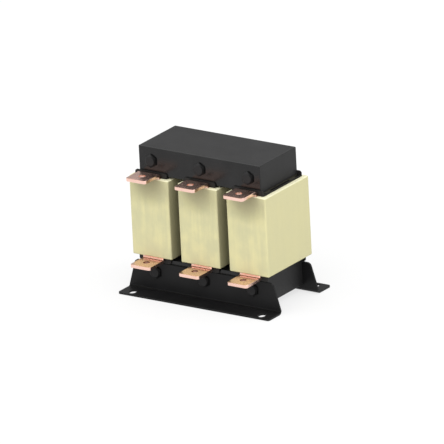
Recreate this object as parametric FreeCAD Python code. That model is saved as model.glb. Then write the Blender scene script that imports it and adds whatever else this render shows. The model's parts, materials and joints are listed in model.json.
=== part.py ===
import FreeCAD, Part
import math
import os

# A three-phase power line filter reactor, in millimetres.
# A laminated iron core stands between two folded feet. Its three limbs carry foil coils under
# yellow tape, and each coil ends in two bent copper bars that point forward.
# X runs along the core, -Y is the side of the terminals and Z is up from the floor. The pieces are
# shaped about the middle plane of the sheet stack, then moved so that the origin lies on the floor
# under the middle of the whole outline.

V = FreeCAD.Vector
shortest_edge = 0.001

# Core sheets
core_width = 150.0
stack_depth = 67.5
limb_width = 30.0
yoke_height = 30.0
window_height = 90.0
air_gap = 1.0
floor_gap = 7.0
core_edge_round = 0.8

# Coils
core_clearance = 0.3
duct_gap = 3.0
former_wall = 1.4
former_end_gap = 0.5
tongue_corner = 2.5
tongue_foot_gap = 0.5
tongue_head_gap = 3.1
bond_gap = 0.05
foil_build = 4.2
tape_wall = 0.65
coil_corner = 1.6
coil_edge_round = 1.2
coil_foot_gap = 3.0
coil_head_gap = 2.0
wedge_width = 10.0
wedge_clearance = 0.1
wedge_inset = 6.0

# Terminal bars
bar_width = 25.0
bar_thick = 3.5
bar_bend = 1.5
bar_gap = 2.4
bar_reach = 23.6
bar_corner = 3.0
bar_edge_round = 0.3
bar_hole = 7.0
bar_in_coil = 30.0

# Folded brackets
sheet = 2.0
sheet_bend = 2.0
foot_reach = 24.0
foot_overhang = 18.5
web_overhang = 10.0
web_below_yoke_top = 4.5
web_corner = 5.0
foot_corner = 2.5
slot_width = 8.0
slot_length = 11.0
slot_end_inset = 13.5
slot_edge_inset = 7.75

# Through-bolts and their insulation
bolt_size = 8.0
bolt_chamfer = 1.0
hex_flats = 13.0
head_height = 5.3
nut_height = 6.5
thread_past_nut = 3.0
washer_outer = 16.0
washer_bore = 8.4
washer_thick = 1.6
insulator_thick = 1.5
sleeve_play = 0.1
sleeve_wall = 0.8
hole_play = 0.1
web_play = 0.5

# Heights
yoke_low = floor_gap
window_low = yoke_low + yoke_height
limb_top = window_low + window_height
window_high = limb_top + air_gap
core_top = window_high + yoke_height
lower_bolt_height = yoke_low + yoke_height / 2
upper_bolt_height = window_high + yoke_height / 2
coil_low = window_low + coil_foot_gap
coil_high = window_high - coil_head_gap
coil_middle = (coil_low + coil_high) / 2
web_top = window_low - web_below_yoke_top
tongue_low = web_top + tongue_foot_gap
tongue_high = upper_bolt_height - washer_outer / 2 - tongue_head_gap

# Half sizes outward from a limb: the former, the foil pack and the tape
stack_half = stack_depth / 2
former_half = V(limb_width / 2 + duct_gap + former_wall, stack_half + core_clearance + former_wall)
foil_in = former_half + V(bond_gap, bond_gap)
foil_out = foil_in + V(foil_build, foil_build)
tape_in = foil_out + V(bond_gap, bond_gap)
tape_out = tape_in + V(tape_wall, tape_wall)

# Places along the core and across it
limb_pitch = (core_width - limb_width) / 2
limb_places = {"left": -limb_pitch, "centre": 0.0, "right": limb_pitch}
bar_leg_face = foil_in.y + bar_thick
bar_front = tape_out.y + bar_reach
foot_front = stack_half + foot_reach
bracket_half = core_width / 2 + foot_overhang
web_half = core_width / 2 + web_overhang
shank_radius = bolt_size / 2
sleeve_in = shank_radius + sleeve_play
sleeve_out = sleeve_in + sleeve_wall
yoke_hole = sleeve_out + hole_play
web_hole = shank_radius + web_play
upper_seat = stack_half + insulator_thick
lower_seat = stack_half + sheet
middle_shift = (bar_front - foot_front) / 2


def block(low, high):
    """A square-edged block between two opposite corners."""
    size = high - low
    return Part.makeBox(size.x, size.y, size.z, low)


def outline(corners):
    """A closed wire through (point, radius) corners, each turned by an arc of its radius."""
    turns = []
    for index, (point, radius) in enumerate(corners):
        back = (corners[index - 1][0] - point).normalize()
        ahead = (corners[(index + 1) % len(corners)][0] - point).normalize()
        half_angle = back.getAngle(ahead) / 2
        inward = (back + ahead).normalize()
        start = point + back * (radius / math.tan(half_angle))
        finish = point + ahead * (radius / math.tan(half_angle))
        summit = point + inward * (radius / math.sin(half_angle) - radius)
        turns.append((start, summit, finish, radius))
    edges = []
    for index, (start, summit, finish, radius) in enumerate(turns):
        came_from = turns[index - 1][2]
        if came_from.distanceToPoint(start) > shortest_edge:
            edges.append(Part.LineSegment(came_from, start).toShape())
        if radius > 0:
            edges.append(Part.Arc(start, summit, finish).toShape())
    return Part.Wire(edges)


def prism(corners, travel):
    """A solid swept straight from an outline."""
    return Part.Face(outline(corners)).extrude(travel)


def rounded_block(half, low, high, radius):
    """An upright block about the Z axis with rounded upright edges."""
    corners = []
    for side_x, side_y in ((-1, -1), (1, -1), (1, 1), (-1, 1)):
        corners.append((V(side_x * half.x, side_y * half.y, low), radius))
    return prism(corners, V(0, 0, high - low))


def soften(solid, radius):
    """Round the flat rims at the top and bottom of an upright solid."""
    box = solid.BoundBox
    rims = []
    for edge in solid.Edges:
        span = edge.BoundBox
        on_end = span.ZMin > box.ZMax - radius / 2 or span.ZMax < box.ZMin + radius / 2
        if span.ZLength < radius / 2 and on_end:
            rims.append(edge)
    return solid.makeFillet(radius, rims)


def tube(outer, inner, start, travel):
    """A round tube or washer whose axis runs from start along travel."""
    length = travel.Length
    return Part.makeCylinder(outer, length, start, travel).cut(
        Part.makeCylinder(inner, length, start, travel))


def bolt_holes(radius, height):
    """Three round holes from front to back through everything at one height."""
    holes = []
    for place in limb_places.values():
        start = V(place, -foot_front, height)
        holes.append(Part.makeCylinder(radius, 2 * foot_front, start, V(0, 1, 0)))
    return Part.Compound(holes)


def three_limb_core():
    """The lower yoke and its three limbs, one stack of E-shaped sheets."""
    half = limb_width / 2
    places = sorted(limb_places.values(), reverse=True)
    points = [V(-core_width / 2, -stack_half, yoke_low), V(core_width / 2, -stack_half, yoke_low)]
    for place in places:
        if place != places[0]:
            points.append(V(place + half, -stack_half, window_low))
        points.append(V(place + half, -stack_half, limb_top))
        points.append(V(place - half, -stack_half, limb_top))
        if place != places[-1]:
            points.append(V(place - half, -stack_half, window_low))
    stack = prism([(point, 0) for point in points], V(0, stack_depth, 0))
    floor_edges = [edge for edge in stack.Edges if edge.BoundBox.ZMax < yoke_low + core_edge_round]
    return stack.makeFillet(core_edge_round, floor_edges).cut(bolt_holes(yoke_hole, lower_bolt_height))


def upper_yoke():
    """The bar of straight sheets that closes the three limbs."""
    bar = block(V(-core_width / 2, -stack_half, window_high), V(core_width / 2, stack_half, core_top))
    return bar.makeFillet(core_edge_round, bar.Edges).cut(bolt_holes(yoke_hole, upper_bolt_height))


def air_gap_spacer(place):
    """The hard board that keeps the air gap between a limb and the upper yoke."""
    half = V(limb_width / 2, stack_half)
    board = rounded_block(half, limb_top, window_high, core_edge_round)
    return board.translated(V(place, 0, 0))


def coil_former(place):
    """The insulating tube round a limb. Its front and rear walls run on over both yokes as tongues."""
    wall = V(former_wall, former_wall)
    low = window_low + former_end_gap
    high = window_high - former_end_gap
    body = rounded_block(former_half, low, high, 0)
    tongues = []
    for side in (-1, 1):
        face = side * former_half.y
        corners = []
        for side_x, height in ((-1, tongue_low), (1, tongue_low), (1, tongue_high), (-1, tongue_high)):
            corners.append((V(side_x * former_half.x, face, height), tongue_corner))
        tongues.append(prism(corners, V(0, -side * former_wall, 0)))
    passage = rounded_block(former_half - wall, low, high, 0)
    return body.cut(passage).fuse(tongues).removeSplitter().translated(V(place, 0, 0))


def limb_wedges():
    """Board strips that centre each former on its limb and keep cooling ducts open."""
    thick = duct_gap - 2 * wedge_clearance
    reach = stack_half - wedge_inset - wedge_width / 2
    strips = []
    for place in limb_places.values():
        for side in (-1, 1):
            for y in (-reach, reach):
                x = place + side * (limb_width / 2 + duct_gap / 2)
                low = V(x - thick / 2, y - wedge_width / 2, window_low)
                strips.append(block(low, low + V(thick, wedge_width, window_height)))
    return Part.Compound(strips)


def bar_pockets(place_low, place_high, play):
    """The room that the two bars need in the front of a coil."""
    low = V(-bar_width / 2 - play, -bar_leg_face - play, place_low)
    high = V(bar_width / 2 + play, -foil_in.y + play, place_high)
    return block(low, high)


def winding(place):
    """The foil turns, with a pocket at each end of the front where a bar is welded in."""
    low = coil_low + tape_wall + bond_gap
    high = coil_high - tape_wall - bond_gap
    corner = coil_corner - tape_wall - bond_gap
    pack = rounded_block(foil_out, low, high, corner)
    pack = soften(pack, coil_edge_round - tape_wall)
    pack = pack.cut(rounded_block(foil_in, low, high, 0))
    depth = bar_in_coil + bond_gap
    pack = pack.cut(bar_pockets(coil_high - depth, coil_high, bond_gap))
    pack = pack.cut(bar_pockets(coil_low, coil_low + depth, bond_gap))
    return pack.translated(V(place, 0, 0))


def tape_wrap(place):
    """The yellow tape round the whole coil, open where the former and the bars come out."""
    shell = soften(rounded_block(tape_out, coil_low, coil_high, coil_corner), coil_edge_round)
    room = rounded_block(tape_in, coil_low + tape_wall, coil_high - tape_wall, coil_corner - tape_wall)
    shell = shell.cut(soften(room, coil_edge_round - tape_wall))
    shell = shell.cut(rounded_block(foil_in, coil_low, coil_high, 0))
    shell = shell.cut(bar_pockets(coil_low, coil_high, bond_gap))
    return shell.translated(V(place, 0, 0))


def long_edges(bar):
    """The edges that run round the two broad faces of a bar, but not those of its hidden tip."""
    box = bar.BoundBox
    chosen = []
    for edge in bar.Edges:
        span = edge.BoundBox
        through_thickness = span.DiagonalLength < bar_thick + shortest_edge
        on_side = span.XLength < shortest_edge
        on_front = span.YMax < box.YMin + bar_corner + shortest_edge
        at_tip = span.ZMax < box.ZMin + shortest_edge
        if (on_side or on_front) and not through_thickness and not at_tip:
            chosen.append(edge)
    return chosen


def top_terminal(place):
    """A copper bar that rises from the coil and bends forward, drilled in the middle of its flat."""
    under = coil_high + bar_gap
    over = under + bar_thick
    tip = coil_high - bar_in_coil
    corners = [
        (V(-bar_width / 2, -foil_in.y, tip), 0),
        (V(-bar_width / 2, -foil_in.y, over), bar_bend + bar_thick),
        (V(-bar_width / 2, -bar_front, over), 0),
        (V(-bar_width / 2, -bar_front, under), 0),
        (V(-bar_width / 2, -bar_leg_face, under), bar_bend),
        (V(-bar_width / 2, -bar_leg_face, tip), 0),
    ]
    bar = prism(corners, V(bar_width, 0, 0))
    plan = [
        (V(-bar_width / 2, -bar_front, tip), bar_corner),
        (V(bar_width / 2, -bar_front, tip), bar_corner),
        (V(bar_width / 2, 0, tip), 0),
        (V(-bar_width / 2, 0, tip), 0),
    ]
    bar = bar.common(prism(plan, V(0, 0, over - tip)))
    bar = bar.makeFillet(bar_edge_round, long_edges(bar))
    middle = -(bar_front + bar_leg_face) / 2
    hole = Part.makeCylinder(bar_hole / 2, bar_thick, V(0, middle, under))
    return bar.cut(hole).translated(V(place, 0, 0))


def bottom_terminal(place):
    """The same bar turned over, at the lower end of the coil."""
    bar = top_terminal(place)
    bar.rotate(V(place, 0, coil_middle), V(0, 1, 0), 180)
    return bar


def front_bracket():
    """One folded sheet: a tapered web on the yoke and a slotted foot turned outward."""
    back = stack_half
    face = back + sheet
    bend = sheet_bend + sheet
    fold = prism([
        (V(-bracket_half, -back, 0), bend),
        (V(-bracket_half, -back, web_top), 0),
        (V(-bracket_half, -face, web_top), 0),
        (V(-bracket_half, -face, sheet), sheet_bend),
        (V(-bracket_half, -foot_front, sheet), 0),
        (V(-bracket_half, -foot_front, 0), 0),
    ], V(2 * bracket_half, 0, 0))
    front_view = prism([
        (V(-bracket_half, -foot_front, 0), 0),
        (V(bracket_half, -foot_front, 0), 0),
        (V(bracket_half, -foot_front, bend), 0),
        (V(web_half, -foot_front, web_top), web_corner),
        (V(-web_half, -foot_front, web_top), web_corner),
        (V(-bracket_half, -foot_front, bend), 0),
    ], V(0, foot_front, 0))
    plan = prism([
        (V(-bracket_half, -foot_front, 0), foot_corner),
        (V(bracket_half, -foot_front, 0), foot_corner),
        (V(bracket_half, 0, 0), 0),
        (V(-bracket_half, 0, 0), 0),
    ], V(0, 0, web_top))
    bracket = fold.common(front_view).common(plan)
    return bracket.cut(foot_slots()).cut(bolt_holes(web_hole, lower_bolt_height))


def foot_slots():
    """The two fixing slots of a foot, long across the bracket."""
    slots = []
    for side in (-1, 1):
        middle = V(side * (bracket_half - slot_end_inset), slot_edge_inset - foot_front, 0)
        half = V(slot_width / 2, slot_length / 2)
        slot = rounded_block(half, 0, sheet, slot_width / 2)
        slots.append(slot.translated(middle))
    return Part.Compound(slots)


def rear_bracket():
    """The same folded sheet, turned half round to the rear of the core."""
    bracket = front_bracket()
    bracket.rotate(V(0, 0, 0), V(0, 0, 1), 180)
    return bracket


def hexagon(height, start, way):
    """A hexagon block along Y from start, corners up and down, its outer corners turned off."""
    corner = hex_flats / math.sqrt(3)
    points = []
    for step in range(6):
        angle = math.radians(30 + 60 * step)
        points.append((V(corner * math.cos(angle), 0, corner * math.sin(angle)), 0))
    turned = 2 * corner - hex_flats
    slope = turned * math.tan(math.radians(30))
    barrel = Part.makeCylinder(corner, height - slope, V(0, 0, 0), V(0, 1, 0))
    crown = Part.makeCone(corner, corner - turned, slope, V(0, height - slope, 0), V(0, 1, 0))
    solid = prism(points, V(0, height, 0)).common(barrel.fuse(crown))
    if way < 0:
        solid.rotate(V(0, 0, 0), V(0, 0, 1), 180)
    return solid.translated(start)


def through_bolts(height, head_seat, nut_seat):
    """Three hexagon bolts through a yoke, heads to the front."""
    length = head_seat + nut_seat + nut_height + thread_past_nut
    bolts = []
    for place in limb_places.values():
        start = V(place, -head_seat, height)
        plain = length - bolt_chamfer
        shank = Part.makeCylinder(shank_radius, plain, start, V(0, 1, 0))
        point = Part.makeCone(shank_radius, shank_radius - bolt_chamfer, bolt_chamfer,
                              start + V(0, plain, 0), V(0, 1, 0))
        head = hexagon(head_height, start, -1)
        bolts.append(head.fuse([shank, point]).removeSplitter())
    return Part.Compound(bolts)


def hex_nuts():
    """Six nuts behind the core."""
    nuts = []
    for height, seat in ((upper_bolt_height, upper_seat), (lower_bolt_height, lower_seat)):
        for place in limb_places.values():
            start = V(place, seat + washer_thick, height)
            bore = Part.makeCylinder(shank_radius, nut_height, start, V(0, 1, 0))
            nuts.append(hexagon(nut_height, start, 1).cut(bore))
    return Part.Compound(nuts)


def washer_row(height, seat, thick=washer_thick):
    """Three washers at one height on a seat behind the core."""
    rings = []
    for place in limb_places.values():
        start = V(place, seat, height)
        rings.append(tube(washer_outer / 2, washer_bore / 2, start, V(0, thick, 0)))
    return rings


def steel_washers():
    """Washers behind the core, under the six nuts."""
    rings = washer_row(upper_bolt_height, upper_seat)
    rings += washer_row(lower_bolt_height, lower_seat)
    return Part.Compound(rings)


def insulating_washers():
    """Hard board washers that keep the upper nuts off the iron."""
    return Part.Compound(washer_row(upper_bolt_height, stack_half, insulator_thick))


def bolt_sleeves():
    """Insulating sleeves that keep the bolts off the iron."""
    sleeves = []
    for height in (upper_bolt_height, lower_bolt_height):
        for place in limb_places.values():
            start = V(place, -stack_half, height)
            sleeves.append(tube(sleeve_out, sleeve_in, start, V(0, stack_depth, 0)))
    return Part.Compound(sleeves)


def save(node, shape):
    """Move a finished node to its place over the origin and write it."""
    shape.translated(V(0, middle_shift, 0)).exportStep("parts/" + node + ".step")


os.makedirs("parts", exist_ok=True)

save("three_limb_core", three_limb_core())
save("upper_yoke", upper_yoke())
save("limb_wedges", limb_wedges())
save("front_bracket", front_bracket())
save("rear_bracket", rear_bracket())
save("upper_bolts", through_bolts(upper_bolt_height, stack_half, upper_seat + washer_thick))
save("lower_bolts", through_bolts(lower_bolt_height, lower_seat, lower_seat + washer_thick))
save("hex_nuts", hex_nuts())
save("steel_washers", steel_washers())
save("insulating_washers", insulating_washers())
save("bolt_sleeves", bolt_sleeves())
for side_name, limb_place in limb_places.items():
    save("air_gap_spacer_" + side_name, air_gap_spacer(limb_place))
    save("coil_former_" + side_name, coil_former(limb_place))
    save("winding_" + side_name, winding(limb_place))
    save("tape_wrap_" + side_name, tape_wrap(limb_place))
    save("top_terminal_" + side_name, top_terminal(limb_place))
    save("bottom_terminal_" + side_name, bottom_terminal(limb_place))
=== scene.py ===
# %% [markdown]
# # A three-phase power line filter
# The object is an iron-core reactor. A black lacquered stack of sheets carries three coils under
# yellow tape, and each coil ends in two bent copper bars. Two folded brackets are its feet.
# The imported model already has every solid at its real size, so this lesson only dresses it. It
# sets up the camera, makes each finish, winds the tape, cuts the bolts' threads and sets the light.

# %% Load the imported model
import json
import math

import bpy
from mathutils import Matrix, Vector


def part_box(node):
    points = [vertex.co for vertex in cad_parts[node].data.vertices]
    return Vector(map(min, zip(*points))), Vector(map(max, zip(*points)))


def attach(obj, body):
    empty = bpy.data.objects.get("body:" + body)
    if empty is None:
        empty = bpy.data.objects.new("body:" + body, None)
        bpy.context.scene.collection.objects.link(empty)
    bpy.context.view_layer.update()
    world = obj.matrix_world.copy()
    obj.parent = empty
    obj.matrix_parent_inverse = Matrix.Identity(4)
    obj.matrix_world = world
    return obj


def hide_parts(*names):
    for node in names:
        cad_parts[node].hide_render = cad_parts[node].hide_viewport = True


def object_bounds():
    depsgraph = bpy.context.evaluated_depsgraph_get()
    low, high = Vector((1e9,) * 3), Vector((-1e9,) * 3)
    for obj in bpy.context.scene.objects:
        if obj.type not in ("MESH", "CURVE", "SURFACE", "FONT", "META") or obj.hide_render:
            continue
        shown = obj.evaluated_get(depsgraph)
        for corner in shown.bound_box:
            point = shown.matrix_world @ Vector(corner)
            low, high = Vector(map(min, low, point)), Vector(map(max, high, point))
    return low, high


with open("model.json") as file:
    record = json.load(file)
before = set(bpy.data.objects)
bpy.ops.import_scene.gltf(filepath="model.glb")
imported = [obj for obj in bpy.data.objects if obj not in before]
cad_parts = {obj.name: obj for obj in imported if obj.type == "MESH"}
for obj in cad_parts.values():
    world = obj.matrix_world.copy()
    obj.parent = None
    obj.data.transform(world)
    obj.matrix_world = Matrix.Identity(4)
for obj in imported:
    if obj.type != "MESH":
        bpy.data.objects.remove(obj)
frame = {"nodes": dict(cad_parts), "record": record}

MILLIMETRE = 0.001
cad_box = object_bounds()
cad_nodes = frame["nodes"]
print("nodes:", len(cad_nodes), "size in m:", [round(v, 4) for v in cad_box[1] - cad_box[0]])

# %% [markdown]
# ## The camera
# The picture was taken from far away, so edges that are parallel on the object stay nearly
# parallel. A camera without perspective would come close, but a very long lens at a great distance
# keeps the little perspective that is there. The picture also leans a little, so the camera is
# rolled about its own line of sight. Its angles and its aim were fitted to the corners of the
# yokes, the coils, the copper bars and the feet.

# %% Place the camera
IMAGE_PIXELS = 444
PIXELS_PER_METRE = 972
FOCAL_PIXELS = 16000
SENSOR_WIDTH = 36.0
AZIMUTH, ELEVATION, ROLL = (math.radians(angle) for angle in (34.828, 19.618, 2.904))
AIM_FROM_REAR = 57.75 * MILLIMETRE
AIM_HEIGHT = 80 * MILLIMETRE
AIM = Vector((0, cad_box[1].y - AIM_FROM_REAR, AIM_HEIGHT))
SHIFT_RIGHT = 1.344 * MILLIMETRE
SHIFT_UP = -4.956 * MILLIMETRE

back = Vector((math.sin(AZIMUTH) * math.cos(ELEVATION),
               -math.cos(AZIMUTH) * math.cos(ELEVATION), math.sin(ELEVATION)))
level = Vector((math.cos(AZIMUTH), math.sin(AZIMUTH), 0))
upward = back.cross(level)
right = level * math.cos(ROLL) - upward * math.sin(ROLL)
up = level * math.sin(ROLL) + upward * math.cos(ROLL)
distance = FOCAL_PIXELS / PIXELS_PER_METRE
eye = AIM + right * SHIFT_RIGHT + up * SHIFT_UP + back * distance

lens = bpy.data.cameras.new("camera")
lens.sensor_width = SENSOR_WIDTH
lens.lens = FOCAL_PIXELS * SENSOR_WIDTH / IMAGE_PIXELS
lens.clip_end = 2 * distance
camera = bpy.data.objects.new("camera", lens)
camera.matrix_world = Matrix.Translation(eye) @ Matrix((right, up, back)).transposed().to_4x4()
bpy.context.scene.collection.objects.link(camera)
bpy.context.scene.camera = camera
print("lens in mm:", round(lens.lens), "distance in m:", round(distance, 2))

# %% [markdown]
# ## Node trees as Python
# Materials and geometry are both node trees. They could be wired node by node, but that takes many
# lines and hides the sums in them. So one small class wraps a socket and overloads the operators:
# a sum of two wrapped sockets adds one Math node. Every other kind of node comes from one method.

# %% A socket that takes part in sums
class Wire:
    """An output socket. An operator on it adds a Math node and gives that node's output."""

    def __init__(self, plan, socket):
        self.plan = plan
        self.socket = socket

    def __add__(self, other):
        return self.plan.math("ADD", self, other)

    def __sub__(self, other):
        return self.plan.math("SUBTRACT", self, other)

    def __rsub__(self, other):
        return self.plan.math("SUBTRACT", other, self)

    def __mul__(self, other):
        return self.plan.math("MULTIPLY", self, other)

    def __truediv__(self, other):
        return self.plan.math("DIVIDE", self, other)

    def __neg__(self):
        return self.plan.math("MULTIPLY", self, -1)

    def __abs__(self):
        return self.plan.math("ABSOLUTE", self)

    def __gt__(self, other):
        return self.plan.math("GREATER_THAN", self, other)

    def __lt__(self, other):
        return self.plan.math("LESS_THAN", self, other)

    __radd__ = __add__
    __rmul__ = __mul__


# %% A node tree that is written as sums
class Plan:
    """A node tree in the making."""

    def __init__(self, tree):
        self.tree = tree
        tree.nodes.clear()

    def add(self, kind, settings=None, sockets=None, out=0):
        """Add a node: its settings first, then the values or wires of its sockets."""
        node = self.tree.nodes.new(kind)
        for name, value in (settings or {}).items():
            setattr(node, name, value)
        for name, value in (sockets or {}).items():
            socket = self.find(node.inputs, name)
            for part in value if isinstance(value, list) else [value]:
                if isinstance(part, Wire):
                    self.tree.links.new(part.socket, socket)
                else:
                    socket.default_value = part
        return Wire(self, self.find(node.outputs, out)) if len(node.outputs) else None

    @staticmethod
    def find(sockets, name):
        """A socket by its place, its identifier or its name."""
        if isinstance(name, int):
            return sockets[name]
        for socket in sockets:
            if socket.identifier == name:
                return socket
        return next(socket for socket in sockets if socket.name == name and socket.enabled)

    def math(self, operation, *values):
        """A Math node on values or wires."""
        return self.add("ShaderNodeMath", {"operation": operation}, dict(enumerate(values)))

    def vector(self, operation, *values, out=0):
        """A Vector Math node on values or wires."""
        sockets = dict(enumerate(values))
        return self.add("ShaderNodeVectorMath", {"operation": operation}, sockets, out)

    def split(self, vector):
        """The three parts of a vector as wires."""
        first = self.add("ShaderNodeSeparateXYZ", {}, {0: vector})
        return [Wire(self, socket) for socket in first.socket.node.outputs]

    def join(self, x=0.0, y=0.0, z=0.0):
        """A vector from three parts."""
        return self.add("ShaderNodeCombineXYZ", {}, {0: x, 1: y, 2: z})

    def noise(self, vector, scale, detail=3.0, roughness=0.5):
        """Cloudy noise between 0 and 1. The scale may differ along the three axes."""
        stretched = self.vector("MULTIPLY", vector, scale)
        sockets = {"Vector": stretched, "Scale": 1.0, "Detail": detail, "Roughness": roughness}
        return self.add("ShaderNodeTexNoise", {}, sockets)

    def between(self, value, low, high):
        """0 below low, 1 above high and a smooth step in between."""
        sockets = {"Value": value, "From Min": low, "From Max": high}
        return self.add("ShaderNodeMapRange", {"interpolation_type": "SMOOTHSTEP"}, sockets)


# %% [markdown]
# ## Finishes
# A finish could be a picture wrapped round the object, but a formula stays sharp from near by and
# needs no seams. Each material reads the place of a point on the object in metres, so a grain of
# half a millimetre is written as half a millimetre and stays put from every side. The object's
# black parts show mostly by what they mirror, so their own colour is very dark and their gloss is
# what sets one from the other.

# %% What the finishes share
class Finish(Plan):
    """A material in the making."""

    def place(self):
        """Where a point lies on the object, in metres."""
        return self.add("ShaderNodeTexCoord", out="Object")

    def facing(self):
        """How far the surface faces along X, Y and Z."""
        return self.split(self.add("ShaderNodeNewGeometry", out="Normal"))

    def blend(self, factor, first, second):
        """A colour between two colours, each given as three parts or as a wire."""
        ends = [end if isinstance(end, Wire) else (*end, 1) for end in (first, second)]
        sockets = {"Factor_Float": factor, "A_Color": ends[0], "B_Color": ends[1]}
        return self.add("ShaderNodeMix", {"data_type": "RGBA"}, sockets, "Result_Color")

    def bump(self, height, distance, strength):
        """A normal that follows a height between 0 and 1, over a real distance in metres."""
        sockets = {"Height": height, "Distance": distance, "Strength": strength}
        return self.add("ShaderNodeBump", {}, sockets)


# %% Make a material from a finish
materials = {}


def material(finish):
    """A material whose principled shader gets the sockets that a finish returns."""
    made = bpy.data.materials.new(finish.__name__)
    made.use_nodes = True
    plan = Finish(made.node_tree)
    shader = plan.add("ShaderNodeBsdfPrincipled", {}, finish(plan))
    plan.add("ShaderNodeOutputMaterial", {}, {"Surface": shader})
    materials[finish.__name__] = made
    print(finish.__name__, "nodes:", len(made.node_tree.nodes))
    return made


# %% [markdown]
# ### Black lacquer on the core
# The core is a stack of half-millimetre steel sheets that was dipped in black lacquer. On the
# faces where the sheets end, their edges still show through as fine lines, and on the broad face
# of the outer sheet they don't. Each sheet could be a mesh of its own, but a step of a few
# hundredths of a millimetre only shows in the gloss, so the lines are a relief in the material.
# A mask from the surface's direction keeps them off the broad face. The lacquer runs thin over
# the cut edges, so the core's two ends are duller than its front.

# %% Helpers for grains and faces
def even(scale):
    """The same scale along the three axes, in cycles per metre."""
    return (scale, scale, scale)


def squarely(plan, part):
    """1 where the surface faces a way almost squarely, and 0 from 53 degrees off it."""
    return plan.between(part, 0.6, 0.9)


# %% Black lacquer over the edges of stacked sheets
SHEET_PITCH = 0.5 * MILLIMETRE
DEEP_LACQUER = (0.005, 0.005, 0.0052)
PALE_LACQUER = (0.010, 0.010, 0.0102)


def black_lacquer(plan):
    place = plan.place()
    across = plan.split(place)[1] / SHEET_PITCH
    side_way, front_way, _ = plan.facing()
    end_face = squarely(plan, abs(side_way))
    on_edge = 1 - squarely(plan, abs(front_way))
    seam = plan.between(abs(plan.math("FRACT", across) * 2 - 1), 0.55, 1.0)
    number = {"W": plan.math("FLOOR", across)}
    sheet = plan.add("ShaderNodeTexWhiteNoise", {"noise_dimensions": "1D"}, number, out="Value")
    film = plan.noise(place, even(600), 4)
    cloud = plan.noise(place, even(45), 3)
    height = (sheet * 0.6 - seam) * on_edge * 0.5 + film * 0.35
    tone = plan.between(cloud * 0.6 + film * 0.25 + sheet * on_edge * 0.15, 0.3, 0.7)
    return {
        "Base Color": plan.blend(tone, DEEP_LACQUER, PALE_LACQUER),
        "Roughness": 0.17 + cloud * 0.06 + film * 0.04 + on_edge * 0.08 + end_face * 0.22,
        "Specular IOR Level": 0.31,
        "Normal": plan.bump(height, 0.03 * MILLIMETRE, 0.5),
    }


material(black_lacquer)

# %% [markdown]
# ### Black paint on the brackets
# The brackets are folded sheet with a thin satin paint. Its surface has the fine ripple of a
# sprayed coat, which painters call orange peel, and it is duller than the lacquer. The fold above
# each foot would mirror the brightest part of the sky as a pale line, and the picture shows none.
# A sharper fold would hide it too, but sheet metal can't be folded that sharply. So a mask finds
# the fold and paints shade on it as a darker colour, and makes the paint duller there.

# %% A mask for bends
def bend(plan, low, high):
    """1 on a bend between an upright face and a level one that faces up."""
    _, along_y, up_z = plan.facing()
    return plan.between(abs(along_y) * up_z, low, high)


# %% Satin paint on folded sheet
DEEP_PAINT = (0.0060, 0.0060, 0.0062)
PALE_PAINT = (0.0090, 0.0090, 0.0093)
# Painted shade on the fold above each foot, in place of its pale mirrored line
PAINTED_FOLD_SHADE = (0.0005, 0.0005, 0.0005)


def black_paint(plan):
    place = plan.place()
    peel = plan.noise(place, even(1100), 2)
    cloud = plan.noise(place, even(38), 3)
    tone = plan.between(cloud * 0.7 + peel * 0.3, 0.3, 0.7)
    fold = bend(plan, 0.15, 0.40)
    return {
        "Base Color": plan.blend(fold, plan.blend(tone, DEEP_PAINT, PALE_PAINT), PAINTED_FOLD_SHADE),
        "Roughness": 0.32 + cloud * 0.06 + peel * 0.04 + fold * 0.4,
        "Specular IOR Level": 0.13,
        "Normal": plan.bump(peel, 0.02 * MILLIMETRE, 0.3),
    }


material(black_paint)

# %% [markdown]
# ### Yellow coil tape
# The tape is a pale yellow polyester film. It is wound tight, so the coils' fronts have faint
# upright streaks and bands along each turn, and a slight cloudiness where a turn isn't pressed
# home. The outer coils' broad sides are the smoothest, so a mask takes the unevenness off them.
# Under the copper bars and between the coils little light gets in. Lamps could be set for darker
# shadows, but they would darken the black parts as well. So shade is painted on the tape there as a
# browner tint, by a mask that looks out for shelter from above. The coils' tops are painted paler,
# a painted highlight, and are kept out of the painted shade.

# %% A mask for painted shade in sheltered places
# Painted shade: where this mask is low, a material darkens its colour as if shaded
def free_of_painted_shade(plan, reach, low, high, lean=0.0):
    """0 where other surfaces shelter a point within some reach, and 1 where it lies open.

    A lean above 0 looks out for shelter from above rather than from below.
    """
    normal = plan.add("ShaderNodeNewGeometry", out="Normal")
    outlook = plan.vector("NORMALIZE", plan.vector("ADD", normal, (0, 0, lean)))
    sockets = {"Distance": reach, "Normal": outlook}
    shelter = plan.add("ShaderNodeAmbientOcclusion", {"samples": 12}, sockets, out="AO")
    return plan.between(shelter, low, high)


# %% Tape
BAR_SHADE_REACH = 35 * MILLIMETRE
GREY_TAPE = (0.434, 0.416, 0.247)
YELLOW_TAPE = (0.518, 0.486, 0.264)
SMOOTH_TAPE = (0.474, 0.446, 0.252)
# Painted highlight: the coils' up-facing tops are paler
PAINTED_HIGHLIGHT_TAPE = (0.60, 0.58, 0.40)
# Painted shade under the copper bars and between the coils
PAINTED_SHADE_TAPE = (0.285, 0.268, 0.155)


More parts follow.
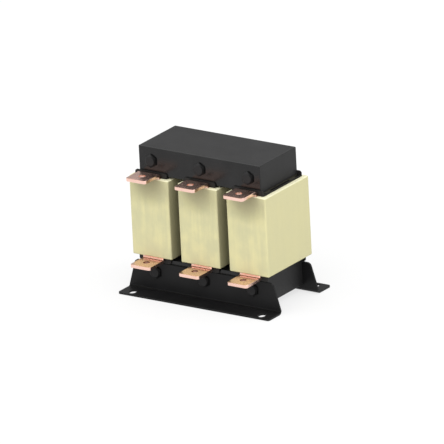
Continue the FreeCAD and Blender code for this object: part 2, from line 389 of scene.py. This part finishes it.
def yellow_tape(plan):
    place = plan.place()
    streak = plan.noise(place, (420, 420, 14), 4, 0.6)
    band = plan.noise(place, (120, 120, 10), 3, 0.6)
    cloud = plan.noise(place, even(55), 4)
    crease = plan.noise(place, (900, 900, 120), 3, 0.6)
    side_way, _, up_way = plan.facing()
    smooth = squarely(plan, abs(side_way)) * 0.85
    # Up-facing tape, which gets the painted highlight
    top = plan.between(up_way, 0.2, 0.8)
    tone = plan.between(streak * 0.15 + band * 0.4 + cloud * 0.45, 0.38, 0.62)
    uneven = plan.blend(tone, GREY_TAPE, YELLOW_TAPE)
    tape_before_painted_shade = plan.blend(top, plan.blend(smooth, uneven, SMOOTH_TAPE), PAINTED_HIGHLIGHT_TAPE)
    # Painted shade where the tape is sheltered from above, left off the tops, which carry a painted
    # highlight
    lit = plan.math("MAXIMUM", free_of_painted_shade(plan, BAR_SHADE_REACH, 0.65, 0.87, lean=0.8), top)
    relief = (crease * 0.6 + streak * 0.4) * (1 - smooth)
    return {
        "Base Color": plan.blend(lit, PAINTED_SHADE_TAPE, tape_before_painted_shade),
        "Roughness": 0.44 + cloud * 0.2,
        "Specular IOR Level": 0.3,
        "Normal": plan.bump(relief, 0.03 * MILLIMETRE, 0.35),
    }


material(yellow_tape)

# %% [markdown]
# ### Copper
# The bars are cut from rolled copper, drilled and bent. The rolling leaves hair-fine lines along
# the bar, and handling leaves slightly browner clouds. Both change how rough and how red the metal
# is. Shade is painted in as a browner colour in the bend, in sheltered places and in the holes. The
# mask for sheltered places can't find the wall of a hole that is open at both ends. The wall could
# get a material of its own, but its faces would have to be picked out first. So the painted shade
# in the holes comes from a mask worked out from the distance to the lower bars' hole, which lies
# halfway along the flat part of each.

# %% Where the lower bars are drilled
BAR_THICK = 3.5 * MILLIMETRE
HOLE_RADIUS = 3.5 * MILLIMETRE
# A little more than the radius, so that the wall itself lies within the mask
HOLE_REACH = HOLE_RADIUS * 1.02
BAR_LOW, BAR_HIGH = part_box("bottom_terminal_centre")
HOLE_Y = (BAR_LOW.y + BAR_HIGH.y - BAR_THICK) / 2
COIL_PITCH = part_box("bottom_terminal_right")[0].x - BAR_LOW.x


def in_hole(plan, place):
    """1 within the hole of a lower bar and on its wall. The same mask serves all three bars."""
    x, y, z = plan.split(place)
    aside = x - plan.math("ROUND", x / COIL_PITCH) * COIL_PITCH
    to_axis = plan.vector("LENGTH", plan.join(aside, y - HOLE_Y), out="Value")
    return (to_axis < HOLE_REACH) * (z < BAR_HIGH.z)


print("holes at y in mm:", round(HOLE_Y / MILLIMETRE, 2))
print("from coil to coil in mm:", round(COIL_PITCH / MILLIMETRE, 2))

# %% Copper bar
BEND_SHADE_REACH = 9 * MILLIMETRE
CLEAR_COPPER = (0.93, 0.635, 0.54)
HANDLED_COPPER = (0.86, 0.575, 0.48)
# Painted shade in the holes, in the bends and in sheltered places
PAINTED_SHADE_COPPER = (0.34, 0.16, 0.10)


def copper(plan):
    place = plan.place()
    rolled = plan.noise(place, (2600, 90, 90), 4, 0.6)
    cloud = plan.noise(place, even(120), 4, 0.6)
    tarnish = plan.between(cloud * 0.8 + rolled * 0.2, 0.35, 0.75)
    bright = plan.blend(tarnish, CLEAR_COPPER, HANDLED_COPPER)
    # Painted shade: the holes, the bends and the sheltered places get the brown colour
    off_hole = 1 - in_hole(plan, place) * 0.8
    off_bend = 1 - bend(plan, 0.2, 0.42) * 0.8
    clear = free_of_painted_shade(plan, BEND_SHADE_REACH, 0.35, 0.65) * off_hole * off_bend
    return {
        "Base Color": plan.blend(clear, PAINTED_SHADE_COPPER, bright),
        "Metallic": 1.0,
        "Roughness": 0.17 + rolled * 0.10 + tarnish * 0.08,
        "Normal": plan.bump(rolled, 0.02 * MILLIMETRE, 0.35),
    }


material(copper)

# %% [markdown]
# ### Boards
# The coil formers and their wedges are cut from insulating board, which is black and slightly
# fibrous. Noise that is drawn out sideways stands for its fibres. The spacers, sleeves and
# insulating washers are glass fibre board with a dark stain. Woven threads could be modelled one
# by one, but only edges of this board show, so its weave is a product of two sine waves.

# %% Black insulating board
DEEP_BOARD = (0.006, 0.0055, 0.005)
PALE_BOARD = (0.012, 0.011, 0.010)


def black_board(plan):
    place = plan.place()
    fibre = plan.noise(place, (500, 500, 2200), 4, 0.6)
    cloud = plan.noise(place, even(80), 3)
    tone = plan.between(fibre * 0.5 + cloud * 0.5, 0.3, 0.7)
    return {
        "Base Color": plan.blend(tone, DEEP_BOARD, PALE_BOARD),
        "Roughness": 0.5 + fibre * 0.15,
        "Specular IOR Level": 0.25,
        "Normal": plan.bump(fibre, 0.03 * MILLIMETRE, 0.5),
    }


material(black_board)

# %% Glass fibre board
WEAVE_PITCH = 1.0 * MILLIMETRE
DEEP_GLASS_BOARD = (0.020, 0.019, 0.012)
PALE_GLASS_BOARD = (0.035, 0.033, 0.020)


def glass_board(plan):
    place = plan.place()
    x, y, z = plan.split(place)
    turn = 2 * math.pi / WEAVE_PITCH
    weave = plan.math("SINE", (x + y) * turn) * plan.math("SINE", z * turn)
    cloud = plan.noise(place, even(150), 3)
    return {
        "Base Color": plan.blend(cloud, DEEP_GLASS_BOARD, PALE_GLASS_BOARD),
        "Roughness": 0.45 + cloud * 0.15,
        "Normal": plan.bump(weave * 0.5 + 0.5, 0.03 * MILLIMETRE, 0.4),
    }


material(glass_board)

# %% [markdown]
# ### Black fasteners
# The bolts, nuts and washers are steel with a black oxide coat under oil. Oxide grows as fine
# crystals, so the grain is finer than on the paint. A head's front shows greyer than its flanks,
# and the flanks turned to the right show the darkest. The light alone leaves them too much alike,
# so light and shade are painted on: a mask from the surface's direction paints the head's front
# greyer and its flanks turned to the right darker.

# %% Black oxide
BLACK_STEEL = (0.001, 0.001, 0.001)
# Painted light on the head's front; the flanks keep the black colour as painted shade
PAINTED_LIGHT_STEEL = (0.024, 0.024, 0.0245)


def black_steel(plan):
    place = plan.place()
    grain = plan.noise(place, even(1500), 3)
    cloud = plan.noise(place, even(160), 3)
    side_way, front_way, _ = plan.facing()
    # Painted light on the front, painted shade on flanks turned to the right
    front = squarely(plan, abs(front_way) - side_way * 0.6)
    tone = cloud * 0.2 + grain * 0.1 + front * 0.7
    return {
        "Base Color": plan.blend(tone, BLACK_STEEL, PAINTED_LIGHT_STEEL),
        "Roughness": 0.34 + cloud * 0.14,
        "Specular IOR Level": 0.05,
        "Normal": plan.bump(grain, 0.02 * MILLIMETRE, 0.4),
    }


material(black_steel)

# %% [markdown]
# ### A finish for every solid
# The record names the finish of each solid. Each could be dressed by a line of its own, but one
# loop over the record dresses them all, and a solid that is added later needs no new line here.

# %% Give every node its finish
for row in frame["record"]["subparts"]:
    for slot in cad_nodes[row["node"]].material_slots:
        slot.material = materials[row["material_slot"]]
print("finishes:", ", ".join(materials))

# %% [markdown]
# ## Recipes for geometry
# What repeats, or follows a path, is made by Geometry Nodes. It could also be made point by point
# in Python, but a tree shows each step and can be run again with other sizes. A recipe is such a
# tree with named inputs for its sizes. It is run on an empty mesh, and its result is kept as a
# plain mesh, so that nothing depends on the tree afterwards.

# %% A geometry tree with named inputs
TOUCHING = 0.002 * MILLIMETRE


class Recipe(Plan):
    """A geometry tree in the making."""

    def __init__(self, name):
        super().__init__(bpy.data.node_groups.new(name, "GeometryNodeTree"))
        sockets = self.tree.interface
        sockets.new_socket("Geometry", in_out="OUTPUT", socket_type="NodeSocketGeometry")
        self.entry = self.tree.nodes.new("NodeGroupInput")
        self.labels = {}

    def ask(self, label, kind="Float"):
        """A named input of the recipe."""
        sockets = self.tree.interface
        asked = sockets.new_socket(label, in_out="INPUT", socket_type="NodeSocket" + kind)
        self.labels[label] = asked.identifier
        return Wire(self, self.find(self.entry.outputs, asked.identifier))

    def geometry(self, kind, geometry, sockets=None, settings=None):
        """A node that changes a geometry."""
        return self.add("GeometryNode" + kind, settings, {0: geometry, **(sockets or {})})

    def position(self):
        """The place of each point, as three wires."""
        return self.split(self.add("GeometryNodeInputPosition"))

    def shift(self, geometry, offset, selection=True):
        """Shift points by an offset."""
        return self.geometry("SetPosition", geometry, {"Offset": offset, "Selection": selection})

    def weld(self, geometry):
        """Merge points that touch."""
        return self.geometry("MergeByDistance", geometry, {"Distance": TOUCHING})

    def solids(self, operation, sockets):
        """An exact cut, union or overlap of closed meshes."""
        settings = {"operation": operation, "solver": "EXACT"}
        return self.add("GeometryNodeMeshBoolean", settings, sockets)

    def serve(self, geometry, finish):
        """End the tree: real geometry with one material."""
        real = self.geometry("RealizeInstances", geometry)
        dressed = self.geometry("SetMaterial", real, {"Material": finish})
        self.add("NodeGroupOutput", {}, {0: dressed})
        print(self.tree.name, "nodes:", len(self.tree.nodes), "inputs:", ", ".join(self.labels))


# %% Run a recipe
def make(recipe, name, sizes, smooth_angle):
    """Run a recipe with its sizes set, and keep its result as a plain mesh object."""
    piece = bpy.data.objects.new(name, bpy.data.meshes.new(name))
    bpy.context.scene.collection.objects.link(piece)
    run = piece.modifiers.new(name, "NODES")
    run.node_group = recipe.tree
    for label, value in sizes.items():
        run[recipe.labels[label]] = value
    graph = bpy.context.evaluated_depsgraph_get()
    mesh = bpy.data.meshes.new_from_object(piece.evaluated_get(graph))
    piece.modifiers.clear()
    piece.data = mesh
    mesh.shade_smooth()
    mesh.set_sharp_from_angle(angle=math.radians(smooth_angle))
    print(name, "triangles:", sum(len(face.vertices) - 2 for face in mesh.polygons))
    return piece


# %% [markdown]
# ## The taped coils
# Each coil is wrapped by hand: the tape goes over the coil's outside, in through its window and
# out again, and every turn laps the last one by part of its width. On the coil's sides the laps
# are upright lines where one turn steps down to the next. Every turn could be a strip of its own,
# but hundreds of overlapping strips don't make a closed solid. The wrapped shape follows a path,
# so it is made as one closed ring in five steps, and each step is one short function.

# %% [markdown]
# ### The path and the section
# The path is a rectangle with round corners, and the section of the taped coil travels along it.
# Both carry a number that the later steps read from the ring: how far round the coil a point is,
# and how deep it lies below the tape's outside.

# %% A value that stays with a curve
def capture(plan, geometry, value):
    """Store a value on a curve, so that the mesh swept from the curve still has it."""
    kept = plan.add("GeometryNodeCaptureAttribute")
    node = kept.socket.node
    node.capture_items.new("FLOAT", "value")
    plan.tree.links.new(geometry.socket, node.inputs[0])
    plan.tree.links.new(value.socket, node.inputs[1])
    return kept, Wire(plan, node.outputs[1])


# %% The path round the coil
CORNER_POINTS = 8
PATH_STEP = 0.3 * MILLIMETRE


def coil_path(plan, wide, deep, corner):
    """A rectangle with round corners, and each point's share of the way round it."""
    path = plan.add("GeometryNodeCurvePrimitiveQuadrilateral", {}, {"Width": wide, "Height": deep})
    rounding = {"Radius": corner, "Count": CORNER_POINTS}
    path = plan.geometry("FilletCurve", path, rounding, {"mode": "POLY"})
    path = plan.geometry("ResampleCurve", path, {"Length": PATH_STEP}, {"mode": "LENGTH"})
    return capture(plan, path, plan.add("GeometryNodeSplineParameter", out="Factor"))


# %% The section of the tape
RIM_POINTS = 6


def tape_section(plan, build, tall, rim):
    """A section from the outside in to the former, round at its two outer rims.

    With it comes how far each of its points lies from the outside, counted below 0.
    """
    sides = {"Width": build, "Height": tall}
    section = plan.add("GeometryNodeCurvePrimitiveQuadrilateral", {}, sides)
    outside = plan.position()[0] > 0
    rounding = {"Radius": rim * outside, "Count": RIM_POINTS}
    section = plan.geometry("FilletCurve", section, rounding, {"mode": "POLY"})
    section = plan.shift(section, plan.join(build * -0.5))
    return capture(plan, section, plan.position()[0])


# %% [markdown]
# ### The inner edge and the laps
# The section turns the corners on an arc, but the former inside has square corners, so the ring's
# inner edge is put back on them. Then a saw-tooth along the path sinks each turn a little towards
# its far edge. The laps could be a bump in the material, but this way they are in the mesh too.

# %% An inner edge with the former's square corners
def fit_former(plan, ring, at_former, wide, deep, tall, build):
    """Put the ring's inner edge on the former."""
    low, high = (plan.join((wide / 2 - build) * way, (deep / 2 - build) * way, tall * way)
                 for way in (-1, 1))
    place = plan.add("GeometryNodeInputPosition")
    within = plan.vector("MINIMUM", plan.vector("MAXIMUM", place, low), high)
    return plan.geometry("SetPosition", ring, {"Selection": at_former, "Position": within})


# %% Turns that lap
def lap_turns(plan, ring, outer, count, lap, seed):
    """Sink each turn of the outer points towards its far edge, by a slightly different depth."""
    sockets = {"Vector": plan.join(plan.math("FLOOR", count), seed)}
    share = plan.add("ShaderNodeTexWhiteNoise", {"noise_dimensions": "2D"}, sockets, out="Value")
    sink = plan.math("FRACT", count) * lap * (0.5 + share * 0.5)
    sockets = {"Vector": plan.add("GeometryNodeInputNormal"), "Scale": -sink}
    inward = plan.add("ShaderNodeVectorMath", {"operation": "SCALE"}, sockets)
    return plan.weld(plan.shift(ring, inward, outer))


# %% [markdown]
# ### The room inside
# The ring is solid so far. The winding's room and the pockets for the copper bars are cut out of
# it, which leaves a thin shell of tape. An offset of the outside would follow every lap inwards,
# and a plain box is what the foil winding really fills.

# %% Room for the winding and the bars
def hollow_out(plan, ring, room_size, pocket_size, pocket_place):
    """Cut the winding's room and the two bars' pockets out of the ring."""
    room = plan.add("GeometryNodeMeshCube", {}, {"Size": room_size})
    pocket = plan.add("GeometryNodeMeshCube", {}, {"Size": pocket_size})
    pocket = plan.geometry("Transform", pocket, {"Translation": pocket_place})
    sockets = {"Mesh 1": ring, "Mesh 2": [room, pocket], "Self Intersection": True}
    return plan.solids("DIFFERENCE", sockets)


# %% [markdown]
# ### The coils
# The steps come together in one recipe, which is run once for each coil. The coil's place and outer
# size, its depth to the former and its pockets come from the imported model's own boxes, and each
# coil has another seed, so no two coils have the same laps.

# %% Recipe for a taped coil
def coil_recipe(finish):
    """The tape shell of one coil."""
    plan = Recipe("tape_turns")
    centre, size = plan.ask("Centre", "Vector"), plan.ask("Outer size", "Vector")
    build, wall = plan.ask("Depth to former"), plan.ask("Tape thickness")
    corner, rim = plan.ask("Corner radius"), plan.ask("Rim radius")
    turns, lap, seed = plan.ask("Turns"), plan.ask("Lap step"), plan.ask("Seed", "Int")
    pocket_place = plan.ask("Pocket place", "Vector")
    pocket_size = plan.ask("Pocket size", "Vector")
    wide, deep, tall = plan.split(size)

    path, along = coil_path(plan, wide, deep, corner)
    section, inset = tape_section(plan, build, tall, rim)
    ring = plan.geometry("CurveToMesh", path, {"Profile Curve": section})
    at_former = inset < build * -0.99
    ring = fit_former(plan, ring, at_former, wide, deep, tall, build)
    ring = lap_turns(plan, ring, 1 - at_former, along * turns, lap, seed)
    room_size = plan.join(wide - wall * 2, deep - wall * 2, tall - wall * 2)
    shell = hollow_out(plan, ring, room_size, pocket_size, pocket_place)
    plan.serve(plan.geometry("Transform", shell, {"Translation": centre}), finish)
    return plan


tape_turns = coil_recipe(materials["yellow_tape"])

# %% Wrap the three coils
TURN_WIDTH = 10 * MILLIMETRE
LAP_STEP = 0.05 * MILLIMETRE
TAPE_WALL = 0.65 * MILLIMETRE
CLEARANCE = 0.05 * MILLIMETRE
COIL_CORNER = 1.6 * MILLIMETRE
COIL_RIM = 1.2 * MILLIMETRE
TAPE_SMOOTH_ANGLE = 25

for seed, side in enumerate(("left", "centre", "right")):
    low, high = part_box("tape_wrap_" + side)
    bar_low, bar_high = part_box("top_terminal_" + side)
    size, centre = high - low, (low + high) / 2
    bar_back = bar_high.y + CLEARANCE
    bar_front = bar_high.y - BAR_THICK - CLEARANCE
    pocket_wide = bar_high.x - bar_low.x + 2 * CLEARANCE
    wrap = make(tape_turns, "taped_coil_" + side, {
        "Centre": centre, "Outer size": size,
        "Depth to former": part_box("coil_former_" + side)[0].x - CLEARANCE - low.x,
        "Tape thickness": TAPE_WALL, "Corner radius": COIL_CORNER, "Rim radius": COIL_RIM,
        "Turns": float(round(2 * (size.x + size.y) / TURN_WIDTH)),
        "Lap step": LAP_STEP, "Seed": seed,
        "Pocket place": Vector((0, (bar_back + bar_front) / 2 - centre.y, 0)),
        "Pocket size": Vector((pocket_wide, bar_back - bar_front, 2 * size.z)),
    }, TAPE_SMOOTH_ANGLE)
    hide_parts("tape_wrap_" + side)
    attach(wrap, "root")

# %% [markdown]
# ## The bolts
# Three long hexagon bolts clamp each yoke. A real one is forged, its head is chamfered in a lathe
# and its thread is rolled. A bevel would leave straight edges on the head, so it is made as the
# lathe does it, from a six-sided bar that is met with a cone. That leaves an arc on each flat. One
# bolt is made and then set three times along a line.

# %% A bolt's head
# Half the width across flats, as a share of the radius at the corners
HALF_FLATS_SHARE = math.cos(math.radians(30))
CHAMFER_SLOPE = math.tan(math.radians(30))
# The flat crown's radius, as a share of half the width across flats
CROWN_SHARE = 0.76
CONE_SIDES = 48


def bolt_head(plan, corner, head):
    """A six-sided bar met with a blunt cone. Its seat is at z = 0, and its crown below that."""
    crown = corner * HALF_FLATS_SHARE * CROWN_SHARE
    bar = plan.add("GeometryNodeMeshCylinder", {}, {"Vertices": 6, "Radius": corner, "Depth": head})
    cone = plan.add("GeometryNodeMeshCone", {}, {
        "Vertices": CONE_SIDES, "Radius Bottom": crown, "Depth": head,
        "Radius Top": crown + head / CHAMFER_SLOPE})
    below = {"Translation": plan.join(z=head * -0.5)}
    bar = plan.geometry("Transform", bar, {"Rotation": (0, 0, math.radians(30)), **below})
    return plan.solids("INTERSECT", {"Mesh 2": [bar, plan.geometry("Transform", cone, below)]})


# %% [markdown]
# ### The thread
# A thread could be a small profile swept along a helix, but its ends are hard to close. Here it is
# a tube whose radius rises and falls with the height plus the turn, which is what makes it a helix.
# The tube's other end reaches into the head, and an exact union makes one closed skin of the two.

# %% A bolt's threaded shank
SHANK_SIDES = 32
RINGS_PER_PITCH = 8
# The depth of a metric thread, as a share of its pitch
THREAD_DEPTH_SHARE = 0.6134
# How many pitches it takes for the groove to reach its depth
RUN_OUT_PITCHES = 1.5
FIRST_RING = 0.01 * MILLIMETRE


def threaded_shank(plan, radius, length, threaded, pitch, point, head):
    """A tube with a thread cut into it. Its first ring is drawn back into the head."""
    rings = plan.math("CEIL", threaded / pitch * RINGS_PER_PITCH)
    sockets = {"Vertices": SHANK_SIDES, "Side Segments": rings, "Radius": radius, "Depth": threaded}
    shank = plan.add("GeometryNodeMeshCylinder", {}, sockets)
    x, y, z = plan.position()
    climb = z + threaded / 2
    phase = plan.math("FRACT", climb / pitch + plan.math("ARCTAN2", y, x) / (2 * math.pi))
    groove = plan.between(abs(phase * 2 - 1), 0.15, 0.85)
    cut = groove * plan.between(climb, 0.0, pitch * RUN_OUT_PITCHES) * pitch * THREAD_DEPTH_SHARE
    tip = plan.math("MAXIMUM", point - (threaded - climb), 0)
    shrink = 1 - plan.math("MAXIMUM", cut, tip) / radius
    plain = (length - threaded + head / 2) * (climb < FIRST_RING)
    target = plan.join(x * shrink, y * shrink, climb + (length - threaded) - plain)
    return plan.geometry("SetPosition", shank, {"Position": target})


# %% Recipe for a row of bolts
def bolt_recipe(finish):
    """A row of equal bolts along X, heads towards -Y."""
    plan = Recipe("bolt_row")
    seat, spacing = plan.ask("First seat", "Vector"), plan.ask("Spacing")
    count = plan.ask("Count", "Int")
    corner, head = plan.ask("Corner radius"), plan.ask("Head height")
    radius, length, point = plan.ask("Shank radius"), plan.ask("Length"), plan.ask("End chamfer")
    threaded, pitch = plan.ask("Thread length"), plan.ask("Thread pitch")

    shank = threaded_shank(plan, radius, length, threaded, pitch, point, head)
    bolt = plan.weld(plan.solids("UNION", {"Mesh 2": [bolt_head(plan, corner, head), shank]}))
    bolt = plan.geometry("Transform", bolt, {"Rotation": (math.radians(-90), 0, 0)})
    spots = {"Count": count, "Start Location": seat, "Offset": plan.join(spacing)}
    line = plan.add("GeometryNodeMeshLine", {}, spots)
    plan.serve(plan.geometry("InstanceOnPoints", line, {"Instance": bolt}), finish)
    return plan


bolt_row = bolt_recipe(materials["black_steel"])

# %% Set the two rows of bolts
BOLT_COUNT = 3
HEAD_HEIGHT = 5.3 * MILLIMETRE
SHANK_RADIUS = 4.0 * MILLIMETRE
END_CHAMFER = 1.0 * MILLIMETRE
THREAD_LENGTH = 22 * MILLIMETRE
THREAD_PITCH = 1.25 * MILLIMETRE
BOLT_SMOOTH_ANGLE = 30

for node in ("upper_bolts", "lower_bolts"):
    low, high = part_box(node)
    corner = (high.z - low.z) / 2
    half_flats = corner * HALF_FLATS_SHARE
    seat = Vector((low.x + half_flats, low.y + HEAD_HEIGHT, (low.z + high.z) / 2))
    row = make(bolt_row, "threaded_" + node, {
        "First seat": seat, "Spacing": (high.x - low.x - 2 * half_flats) / (BOLT_COUNT - 1),
        "Count": BOLT_COUNT, "Corner radius": corner, "Head height": HEAD_HEIGHT,
        "Shank radius": SHANK_RADIUS, "Length": high.y - seat.y, "End chamfer": END_CHAMFER,
        "Thread length": THREAD_LENGTH, "Thread pitch": THREAD_PITCH,
    }, BOLT_SMOOTH_ANGLE)
    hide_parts(node)
    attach(row, "root")

# %% [markdown]
# ## Floor and light
# The picture is as bright as a catalogue picture on white. Its light comes from high up and a
# little from the front: surfaces that face up are the brightest, the two sides in view are lit
# alike, and the bars shade the coils below them. Large lamps could give that, but they would show
# in the lacquer as bright squares. A sky that grows brighter towards one point has no such edges.
# The floor comes out white mostly by a glow of its own over a grey colour, so that the object's
# shadow on it stays faint.

# %% Floor
FLOOR_HALF = 12.0
FLOOR_LEVEL = -0.2 * MILLIMETRE
FLOOR_GLOW = 0.72
DEEP_FLOOR = (0.15, 0.15, 0.15)
PALE_FLOOR = (0.17, 0.17, 0.17)
WHITE = (1, 1, 1, 1)


def floor_finish(plan):
    grain = plan.noise(plan.place(), even(6), 2)
    return {
        "Base Color": plan.blend(grain, DEEP_FLOOR, PALE_FLOOR),
        "Roughness": 0.9,
        "Specular IOR Level": 0.1,
        "Emission Color": WHITE,
        "Emission Strength": FLOOR_GLOW,
    }


floor_mesh = bpy.data.meshes.new("floor")
corner_ways = ((-1, -1), (1, -1), (1, 1), (-1, 1))
corners = [(x * FLOOR_HALF, y * FLOOR_HALF, FLOOR_LEVEL) for x, y in corner_ways]
floor_mesh.from_pydata(corners, [], [(0, 1, 2, 3)])
floor_mesh.materials.append(material(floor_finish))
floor = bpy.data.objects.new("floor", floor_mesh)
bpy.context.scene.collection.objects.link(floor)

# %% [markdown]
# ### The sky
# The sky is a sum of soft lobes over an even dim light. Each lobe has a side that it is brightest
# towards, a strength and a sharpness. The widest is the studio's main light, and a weak one lifts
# the right. The third takes light away straight overhead, so that level copper keeps its colour
# in a view from above. The camera itself sees plain white in place of the sky.

# %% Sky
DIM_LIGHT = 0.28
MAIN_LIGHT = ((0.17, -0.30, 0.94), 3.3, 1)
RIGHT_LIGHT = ((0.95, 0.0, 0.30), 0.15, 4)
OVERHEAD_SHADE = ((0, 0, 1), -2.2, 8)

world = bpy.data.worlds.new("studio")
world.use_nodes = True
sky = Finish(world.node_tree)
way = sky.add("ShaderNodeTexCoord", out="Generated")
light = DIM_LIGHT
for side, strength, sharpness in (MAIN_LIGHT, RIGHT_LIGHT, OVERHEAD_SHADE):
    towards = sky.math("MAXIMUM", sky.vector("DOT_PRODUCT", way, side, out="Value"), 0)
    light = sky.math("POWER", towards, sharpness) * strength + light
seen = sky.add("ShaderNodeLightPath", out="Is Camera Ray")
sockets = {"Color": WHITE, "Strength": seen + (1 - seen) * light}
backdrop = sky.add("ShaderNodeBackground", {}, sockets)
sky.add("ShaderNodeOutputWorld", {}, {"Surface": backdrop})
bpy.context.scene.world = world
bpy.context.scene.view_settings.view_transform = "Standard"
print("sky nodes:", len(world.node_tree.nodes))
